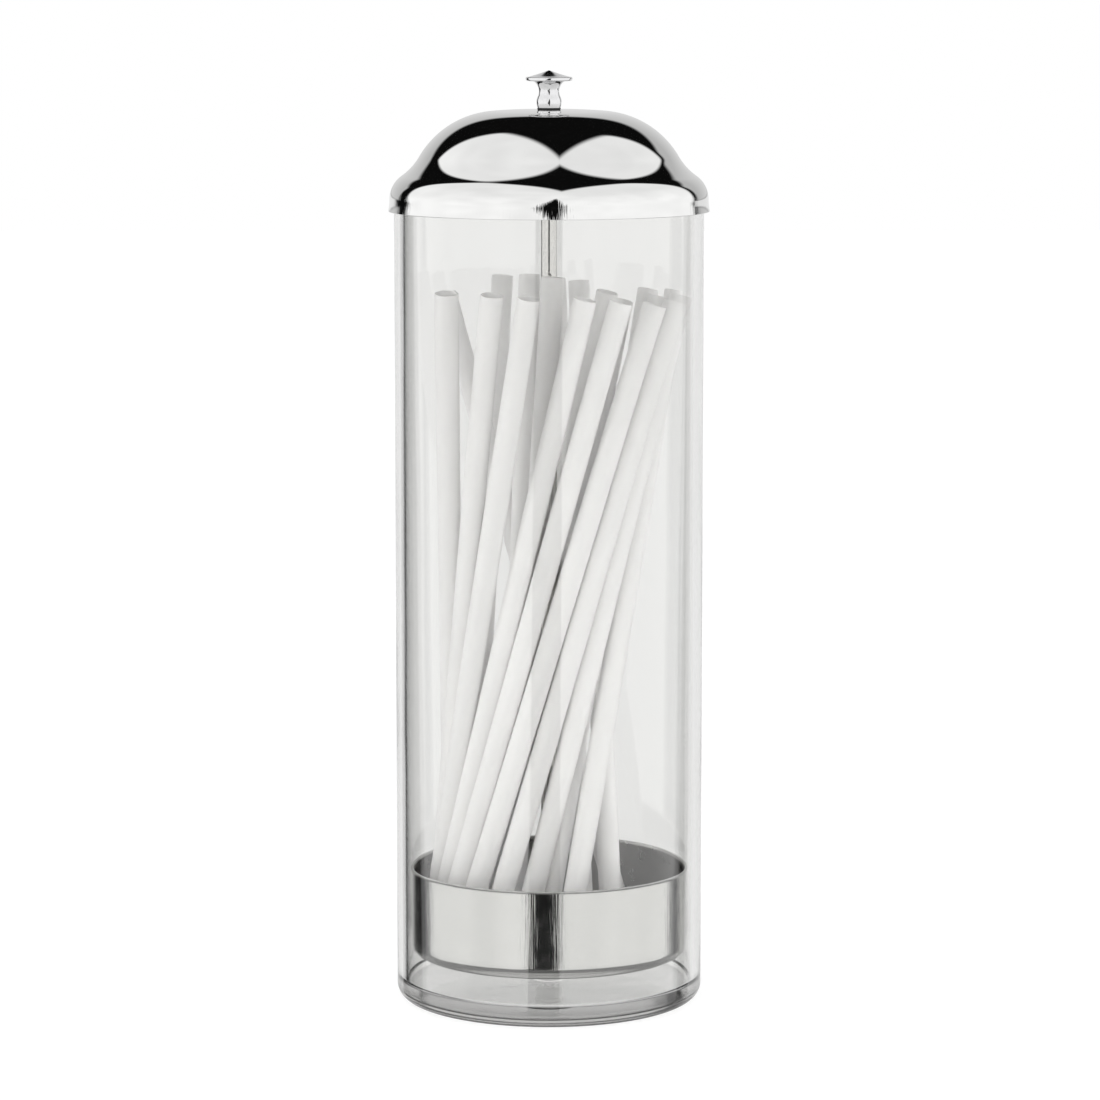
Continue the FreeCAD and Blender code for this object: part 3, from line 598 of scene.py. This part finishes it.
BLACK_RING_THICKNESS = 0.6
KNOB_Z = LID_Z + LID_TOP + BLACK_RING_THICKNESS
KNOB_FOOT_R = 3.55
KNOB_NECK_R = 3.62
KNOB_NECK_Z = 3.15
KNOB_WAIST_R = 3.3
KNOB_WAIST_Z = 3.85
KNOB_FLARE_R = 3.55
KNOB_FLARE_Z = 6.6
KNOB_DISC_R = 7.25
KNOB_DISC_LOW = 8.3
KNOB_DISC_HIGH = 9.45
KNOB_DISC_BREAK = 0.3
KNOB_CONE_R = 5.3
KNOB_CONE_Z = 9.82
KNOB_TIP_R = 0.45
KNOB_TIP_Z = 11.42
KNOB_TOP = 11.5
KNOB_BORE_R = 2.05
KNOB_BORE_DEPTH = 8.0
RING_APART = 0.25

knob_outline = outline([
    (KNOB_BORE_R, 0),
    (KNOB_FOOT_R, 0, 4.1, "left"),
    (KNOB_NECK_R, KNOB_NECK_Z),
    (KNOB_WAIST_R, KNOB_WAIST_Z, 3.6, "right"),
    (KNOB_FLARE_R, KNOB_FLARE_Z, 2.8, "right"),
    (KNOB_DISC_R - KNOB_DISC_BREAK, KNOB_DISC_LOW, 0.45, "left"),
    (KNOB_DISC_R, KNOB_DISC_LOW + KNOB_DISC_BREAK),
    (KNOB_DISC_R, KNOB_DISC_HIGH - KNOB_DISC_BREAK, 0.45, "left"),
    (KNOB_DISC_R - KNOB_DISC_BREAK, KNOB_DISC_HIGH, 9.0, "right"),
    (KNOB_CONE_R, KNOB_CONE_Z, 60.0, "right"),
    (KNOB_TIP_R, KNOB_TIP_Z, 0.9, "left"),
    (0, KNOB_TOP),
    (0, KNOB_BORE_DEPTH),
    (KNOB_BORE_R, KNOB_BORE_DEPTH),
])
knob = turned("knob_turning", [(p[0], p[1] + KNOB_Z) for p in knob_outline], sides=128)
# Chrome plate is a little bluer and darker than the lid's steel, and its polish is softer. The
# turning's rings are finer than a hair. They are drawn a quarter of a millimetre apart and make
# what the knob mirrors a little uneven.
chrome_plate, tree, skin = new_material("polished_chrome_plate")
skin.inputs["Base Color"].default_value = linear("E0E0E1")
skin.inputs["Metallic"].default_value = 1.0
skin.inputs["Roughness"].default_value = 0.09
place = add_node(tree, "ShaderNodeTexCoord").outputs["Object"]
parts = add_node(tree, "ShaderNodeSeparateXYZ", {0: place})
aside = add_node(tree, "ShaderNodeCombineXYZ", {0: parts.outputs[0], 1: parts.outputs[1]})
reach = add_node(tree, "ShaderNodeVectorMath", {0: aside.outputs[0]}, operation="LENGTH")
both = add_node(tree, "ShaderNodeCombineXYZ", {0: reach.outputs[1], 1: parts.outputs[2]})
rings = add_node(tree, "ShaderNodeTexNoise", {"Vector": both.outputs[0],
                                              "Scale": 1000 / RING_APART, "Detail": 2.0})
marks = add_node(tree, "ShaderNodeBump", {"Height": rings.outputs[0], "Strength": 0.05,
                                          "Distance": 0.00002})
tree.links.new(marks.outputs[0], skin.inputs["Normal"])
knob.data.materials.append(chrome_plate)
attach(knob, "lift")
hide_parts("knob")


# Knob washer: a thin, dull black ring under the knob, which draws the thin black line there,
# with a slightly bulged rim.

BLACK_RING_R = 3.5
BLACK_RING_BULGE = 0.12
BLACK_RING_BREAK = 0.12
BLACK_RING_GRAIN = 1 / 6

knob_washer = turned("knob_washer_ring", [(p[0], p[1] + LID_Z + LID_TOP) for p in outline([
    (HOLE_R, 0),
    (BLACK_RING_R, 0),
    (BLACK_RING_R + BLACK_RING_BULGE, BLACK_RING_BREAK, 0.6, "left"),
    (BLACK_RING_R + BLACK_RING_BULGE, BLACK_RING_THICKNESS - BLACK_RING_BREAK),
    (BLACK_RING_R, BLACK_RING_THICKNESS),
    (HOLE_R, BLACK_RING_THICKNESS),
])], sides=96)
# Dull black. A fine grain is drawn a sixth of a millimetre wide and only softens the shine.
black_ring_material, tree, skin = new_material("dull_black_under_knob")
skin.inputs["Base Color"].default_value = linear("17171A")
skin.inputs["Roughness"].default_value = 0.6
skin.inputs["IOR"].default_value = 1.52
place = add_node(tree, "ShaderNodeTexCoord").outputs["Object"]
grain = add_node(tree, "ShaderNodeTexNoise", {"Vector": place, "Scale": 1000 / BLACK_RING_GRAIN})
ring_bumps = add_node(tree, "ShaderNodeBump", {"Height": grain.outputs[0], "Strength": 0.3,
                                          "Distance": 0.00003})
tree.links.new(ring_bumps.outputs[0], skin.inputs["Normal"])
knob_washer.data.materials.append(black_ring_material)
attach(knob_washer, "lift")
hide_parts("knob_washer")


# Rod: bright ground bar, turned down at both ends to a rolled M4 thread. The upper thread goes
# through the lid into the knob, and the lower one through the tray into its nut.

WASHER = 0.8
TRAY_HANG = 8.0
TRAY_Z = JAR_FLOOR + TRAY_HANG
ROD_R = 2.5
ROD_BREAK = 0.2
ROD_FOOT = TRAY_Z + SHEET + WASHER
ROD_TOP = LID_Z + LID_TOP - SHEET - WASHER
THREAD_R = 2.0
THREAD_PITCH = 0.7
THREAD_DEPTH = 0.38
THREAD_POINT = 0.5
GROOVE_SLOPE = 2.3
LOWER_THREAD = 6.8
UPPER_THREAD = 9.8
THREAD_LOW = ROD_FOOT - LOWER_THREAD
THREAD_HIGH = ROD_TOP + UPPER_THREAD
LEVELS_TO_A_TURN = 8
GRIND_APART = 0.2
GRIND_LENGTH = 5.0


def threaded_rod(name, sides=48):
    """The whole rod as one skin. The threads' crests and roots climb round it as a helix."""
    levels = []
    z = THREAD_LOW
    while z < ROD_FOOT - 0.01:
        levels.append(z)
        z += THREAD_PITCH / LEVELS_TO_A_TURN
    levels += [ROD_FOOT, ROD_FOOT + ROD_BREAK, ROD_FOOT + 2 * ROD_BREAK]
    levels += [ROD_TOP - 2 * ROD_BREAK, ROD_TOP - ROD_BREAK, ROD_TOP]
    z = ROD_TOP + 0.02
    while z < THREAD_HIGH:
        levels.append(z)
        z += THREAD_PITCH / LEVELS_TO_A_TURN
    levels.append(THREAD_HIGH)

    def radius(level, angle):
        if ROD_FOOT <= level <= ROD_TOP:
            from_end = min(level - ROD_FOOT, ROD_TOP - level)
            return ROD_R - max(ROD_BREAK - from_end, 0.0)
        turn = (level / THREAD_PITCH - angle / (2 * math.pi)) % 1.0
        groove = max(0.0, 1 - abs(turn - 0.5) * GROOVE_SLOPE)
        from_tip = min(level - THREAD_LOW, THREAD_HIGH - level)
        return THREAD_R - max(THREAD_DEPTH * groove, THREAD_POINT - from_tip)

    shape = bmesh.new()
    rings = []
    for level in levels:
        ring = []
        for side in range(sides):
            angle = 2 * math.pi * side / sides
            reach = radius(level, angle) / 1000
            ring.append(shape.verts.new((reach * math.cos(angle), reach * math.sin(angle),
                                         level / 1000)))
        rings.append(ring)
    for first, second in zip(rings, rings[1:]):
        for side in range(sides):
            after = (side + 1) % sides
            shape.faces.new((first[side], first[after], second[after], second[side]))
    shape.faces.new(list(reversed(rings[0])))
    shape.faces.new(rings[-1])
    mesh = bpy.data.meshes.new(name)
    shape.to_mesh(mesh)
    shape.free()
    return shown(name, mesh, 30)


rod = threaded_rod("rod_bar")
# Centreless grinding leaves rings of a few hundredths of a millimetre round the bar, too fine to
# see one by one. They are drawn a fifth of a millimetre apart and 5 mm long, and spread what the
# bar mirrors along its length.
ground_steel, tree, skin = new_material("ground_bright_stainless")
skin.inputs["Base Color"].default_value = linear("E2E1DF")
skin.inputs["Metallic"].default_value = 1.0
skin.inputs["Roughness"].default_value = 0.05
place = add_node(tree, "ShaderNodeTexCoord").outputs["Object"]
squeezed = add_node(tree, "ShaderNodeMapping", {"Vector": place,
                                                "Scale": (1000 / GRIND_LENGTH,
                                                          1000 / GRIND_LENGTH,
                                                          1000 / GRIND_APART)})
rings = add_node(tree, "ShaderNodeTexNoise", {"Vector": squeezed.outputs[0], "Scale": 1.0})
marks = add_node(tree, "ShaderNodeBump", {"Height": rings.outputs[0], "Strength": 0.08,
                                          "Distance": 0.00003})
tree.links.new(marks.outputs[0], skin.inputs["Normal"])
rod.data.materials.append(ground_steel)
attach(rod, "lift")
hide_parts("rod")


# Tray: a shallow cup drawn from stainless sheet and left with a soft polish. Its wall keeps the
# upright marks of the drawing die, and its trimmed lip opens slightly to guide the straws in.

TRAY_R = 43.8
TRAY_HEIGHT = 28.2
TRAY_CORNER = 4.0
LIP_OUT = 0.3
LIP_Z = 27.35
LIP_BEND = 0.97
LIP_ROUND = 0.15
CLOUD = 6.25
tray_wall = TRAY_R - LIP_OUT

tray = turned("tray_cup", [(p[0], p[1] + TRAY_Z) for p in outline([
    (HOLE_R, 0),
    (tray_wall - TRAY_CORNER, 0, TRAY_CORNER, "left"),
    (tray_wall, TRAY_CORNER),
    (tray_wall, LIP_Z, LIP_BEND, "right"),
    (TRAY_R, TRAY_HEIGHT - LIP_ROUND, LIP_ROUND, "left"),
    (TRAY_R - LIP_ROUND, TRAY_HEIGHT),
    (TRAY_R - SHEET + LIP_ROUND, TRAY_HEIGHT, LIP_ROUND, "left"),
    (TRAY_R - SHEET, TRAY_HEIGHT - LIP_ROUND, LIP_BEND, "left"),
    (tray_wall - SHEET, LIP_Z),
    (tray_wall - SHEET, TRAY_CORNER, TRAY_CORNER - SHEET, "right"),
    (tray_wall - TRAY_CORNER, SHEET),
    (HOLE_R, SHEET),
])], sides=256, crease=50)


def pressed_steel(name, colour, least, most):
    """Drawn sheet with upright streaks and brighter and duller patches."""
    material, tree, skin = new_material(name)
    skin.inputs["Base Color"].default_value = linear(colour)
    skin.inputs["Metallic"].default_value = 1.0
    streaks = drawn_streaks(tree, 0.5, 22.0, TRAY_R)
    place = add_node(tree, "ShaderNodeTexCoord").outputs["Object"]
    clouds = add_node(tree, "ShaderNodeTexNoise", {"Vector": place, "Scale": 1000 / CLOUD,
                                                   "Detail": 4.0, "Roughness": 0.65})
    dullness = add_node(tree, "ShaderNodeMapRange", {"Value": clouds.outputs[0],
                                                     "From Min": 0.35, "From Max": 0.7,
                                                     "To Min": least, "To Max": most})
    tree.links.new(dullness.outputs[0], skin.inputs["Roughness"])
    marks = add_node(tree, "ShaderNodeMath", {0: clouds.outputs[0], 1: 0.8,
                                              2: streaks.outputs[0]}, operation="MULTIPLY_ADD")
    dents = add_node(tree, "ShaderNodeBump", {"Height": marks.outputs[0], "Strength": 0.4,
                                              "Distance": 0.0001})
    tree.links.new(dents.outputs[0], skin.inputs["Normal"])
    return material


# Stainless as it leaves the press. The die's marks are drawn half a millimetre apart, as coarse as
# they need to show, and run most of the way up the wall. The outside is wiped bright against the
# die, in patches of some 6 mm, and the inside stays duller. The inside's darker colour is painted
# shade, standing in for the shade that falls inside the cup.
tray.data.materials.append(pressed_steel("drawn_stainless_outside", "D5D5D3", 0.06, 0.15))
tray.data.materials.append(pressed_steel("drawn_stainless_inside_painted_shade", "BAB9B8", 0.25, 0.42))
# Faces that look inwards, and the cup's floor, get the inside's darker colour, which is painted
# shade.
for face in tray.data.polygons:
    faces_out = face.normal.x * face.center.x + face.normal.y * face.center.y
    on_floor = face.normal.z > 0.5 and face.center.z < (TRAY_Z + TRAY_CORNER + 1) / 1000
    if faces_out < -0.01 or on_floor:
        face.material_index = 1
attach(tray, "lift")
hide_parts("tray")


# Steel washers: one under the lid on the rod's upper shoulder, and one on each side of the
# tray's floor. They are punched from sheet, so one edge of each is rolled over and one is sharp.

WASHER_R = 4.5
ROLLED_EDGE = 0.25
BORE_EDGE = 0.2
SHARP_EDGE = 0.05
SCUFF = 0.4


def punched_washer(name, node, z):
    """One washer with its underside at a height, in the place of its CAD node."""
    ring = turned(name, [(p[0], p[1] + z) for p in outline([
        (HOLE_R, 0),
        (WASHER_R - SHARP_EDGE, 0),
        (WASHER_R, SHARP_EDGE),
        (WASHER_R, WASHER - ROLLED_EDGE, ROLLED_EDGE, "left"),
        (WASHER_R - ROLLED_EDGE, WASHER),
        (HOLE_R + BORE_EDGE, WASHER, BORE_EDGE, "left"),
        (HOLE_R, WASHER - BORE_EDGE),
    ])], sides=96)
    ring.data.materials.append(punched_steel)
    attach(ring, "lift")
    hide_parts(node)


# Barrel-tumbled stainless: an even satin with small scuffs, 0.4 mm wide.
punched_steel, tree, skin = new_material("tumbled_stainless_steel")
skin.inputs["Base Color"].default_value = linear("C9C8C5")
skin.inputs["Metallic"].default_value = 1.0
place = add_node(tree, "ShaderNodeTexCoord").outputs["Object"]
scuffs = add_node(tree, "ShaderNodeTexNoise", {"Vector": place, "Scale": 1000 / SCUFF,
                                               "Detail": 3.0})
satin = add_node(tree, "ShaderNodeMapRange", {"Value": scuffs.outputs[0], "To Min": 0.22,
                                              "To Max": 0.42})
tree.links.new(satin.outputs[0], skin.inputs["Roughness"])
punched_washer("lid_washer_ring", "lid_washer", ROD_TOP)
punched_washer("tray_upper_washer_ring", "tray_upper_washer", TRAY_Z + SHEET)
punched_washer("tray_lower_washer_ring", "tray_lower_washer", TRAY_Z - WASHER)


# Nut: a plain hexagon nut below the tray, with both faces' corners turned off at 30 degrees.
# The CAD shape is right as it is and only gets the washers' tumbled steel.

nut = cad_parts["tray_nut"]
nut.data.materials.clear()
nut.data.materials.append(punched_steel)


# Straws: extruded polypropylene tube, white and slightly see-through, cut square by a blade that
# leaves the ends a touch out of round. Each stands where the CAD straw of its number stands.

STRAW_R = 3.5
STRAW_BORE_R = 3.2
STRAW_GRAIN = 10 / 9
CUT_ROUND = 0.05
OVAL_SHARE = 0.016
OVAL_REACH = 4.0
OVAL_TURN = 2.4


def straw_line(node):
    """The foot and the head of a CAD straw: the middles of its two ends."""
    corners = {tuple(round(c, 6) for c in vertex.co) for vertex in node.data.vertices}
    half_way = (min(c[2] for c in corners) + max(c[2] for c in corners)) / 2
    ends = []
    for group in ([c for c in corners if c[2] < half_way], [c for c in corners if c[2] > half_way]):
        ends.append(sum((Vector(c) for c in group), Vector()) / len(group))
    return ends


def straw_tube(name, foot, head, turn, sides=48):
    """A tube from foot to head with softened cut edges and slightly oval ends."""
    length = (head - foot).length * 1000
    stations = [CUT_ROUND, OVAL_REACH / 2, OVAL_REACH * 2, length / 2, length - OVAL_REACH * 2,
                length - OVAL_REACH / 2, length - CUT_ROUND]
    line = [(STRAW_BORE_R, CUT_ROUND), (STRAW_BORE_R + CUT_ROUND, 0.0), (STRAW_R - CUT_ROUND, 0.0)]
    line += [(STRAW_R, along) for along in stations]
    line += [(STRAW_R - CUT_ROUND, length), (STRAW_BORE_R + CUT_ROUND, length)]
    line += [(STRAW_BORE_R, along) for along in reversed(stations[1:])]
    shape = bmesh.new()
    rings = []
    for radius, along in line:
        from_end = min(along, length - along)
        squash = OVAL_SHARE * math.exp(-from_end / OVAL_REACH)
        ring = []
        for side in range(sides):
            angle = 2 * math.pi * side / sides
            reach = radius * (1 - squash + squash * math.cos(2 * (angle - turn))) / 1000
            ring.append(shape.verts.new((reach * math.cos(angle), reach * math.sin(angle),
                                         along / 1000)))
        rings.append(ring)
    for first, second in zip(rings, rings[1:] + rings[:1]):
        for side in range(sides):
            after = (side + 1) % sides
            shape.faces.new((first[side], first[after], second[after], second[side]))
    bmesh.ops.recalc_face_normals(shape, faces=shape.faces)
    lean = (head - foot).to_track_quat("Z", "Y").to_matrix().to_4x4()
    shape.transform(Matrix.Translation(foot) @ lean)
    mesh = bpy.data.meshes.new(name)
    shape.to_mesh(mesh)
    shape.free()
    return shown(name, mesh, 40)


# Polypropylene with white pigment: satin, thin enough to let some light through, and with a faint
# grain from the die, about a millimetre wide.
white_straw, tree, skin = new_material("extruded_white_polypropylene")
skin.inputs["Base Color"].default_value = linear("F3F2F1")
skin.inputs["Roughness"].default_value = 0.35
skin.inputs["IOR"].default_value = 1.49
skin.inputs["Subsurface Weight"].default_value = 0.3
skin.inputs["Subsurface Radius"].default_value = (1.0, 1.0, 0.95)
skin.inputs["Subsurface Scale"].default_value = 0.0015
place = add_node(tree, "ShaderNodeTexCoord").outputs["Object"]
grain = add_node(tree, "ShaderNodeTexNoise", {"Vector": place, "Scale": 1000 / STRAW_GRAIN,
                                              "Detail": 2.0})
marks = add_node(tree, "ShaderNodeBump", {"Height": grain.outputs[0], "Strength": 0.06,
                                          "Distance": 0.00005})
tree.links.new(marks.outputs[0], skin.inputs["Normal"])
for count in range(1, 20):
    node_name = f"straw_{count:02d}"
    foot, head = straw_line(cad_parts[node_name])
    straw = straw_tube(f"{node_name}_tube", foot, head, count * OVAL_TURN)
    straw.data.materials.append(white_straw)
    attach(straw, "lift")
    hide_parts(node_name)
